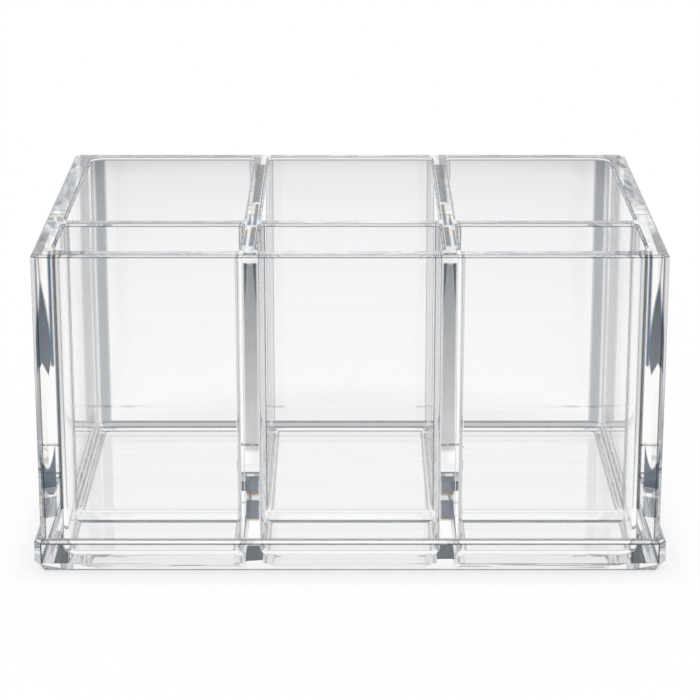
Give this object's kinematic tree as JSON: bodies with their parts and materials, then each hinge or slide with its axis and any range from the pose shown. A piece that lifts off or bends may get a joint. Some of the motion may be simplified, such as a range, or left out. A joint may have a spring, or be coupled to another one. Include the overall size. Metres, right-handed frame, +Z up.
{
  "type": "vanity organizer",
  "caption": "Clear thick-walled box on a stepped, bevelled base, open at the top and divided into upright compartments for cosmetics and brushes.",
  "frame": {"origin": "on the table, under the middle of the base", "axes": "+X from left to right along the longest side, +Y from the front to the back, +Z up; the front with the shallow row of compartments faces -Y"},
  "size_m": [0.23, 0.165, 0.119],
  "materials": {
    "clear_acrylic": "clear, polished"
  },
  "bodies": {
    "root": {"base_tray": "clear_acrylic", "front_wall": "clear_acrylic", "back_wall": "clear_acrylic", "left_wall": "clear_acrylic", "right_wall": "clear_acrylic", "left_divider": "clear_acrylic", "right_divider": "clear_acrylic", "cross_divider": "clear_acrylic"}
  },
  "joints": []
}
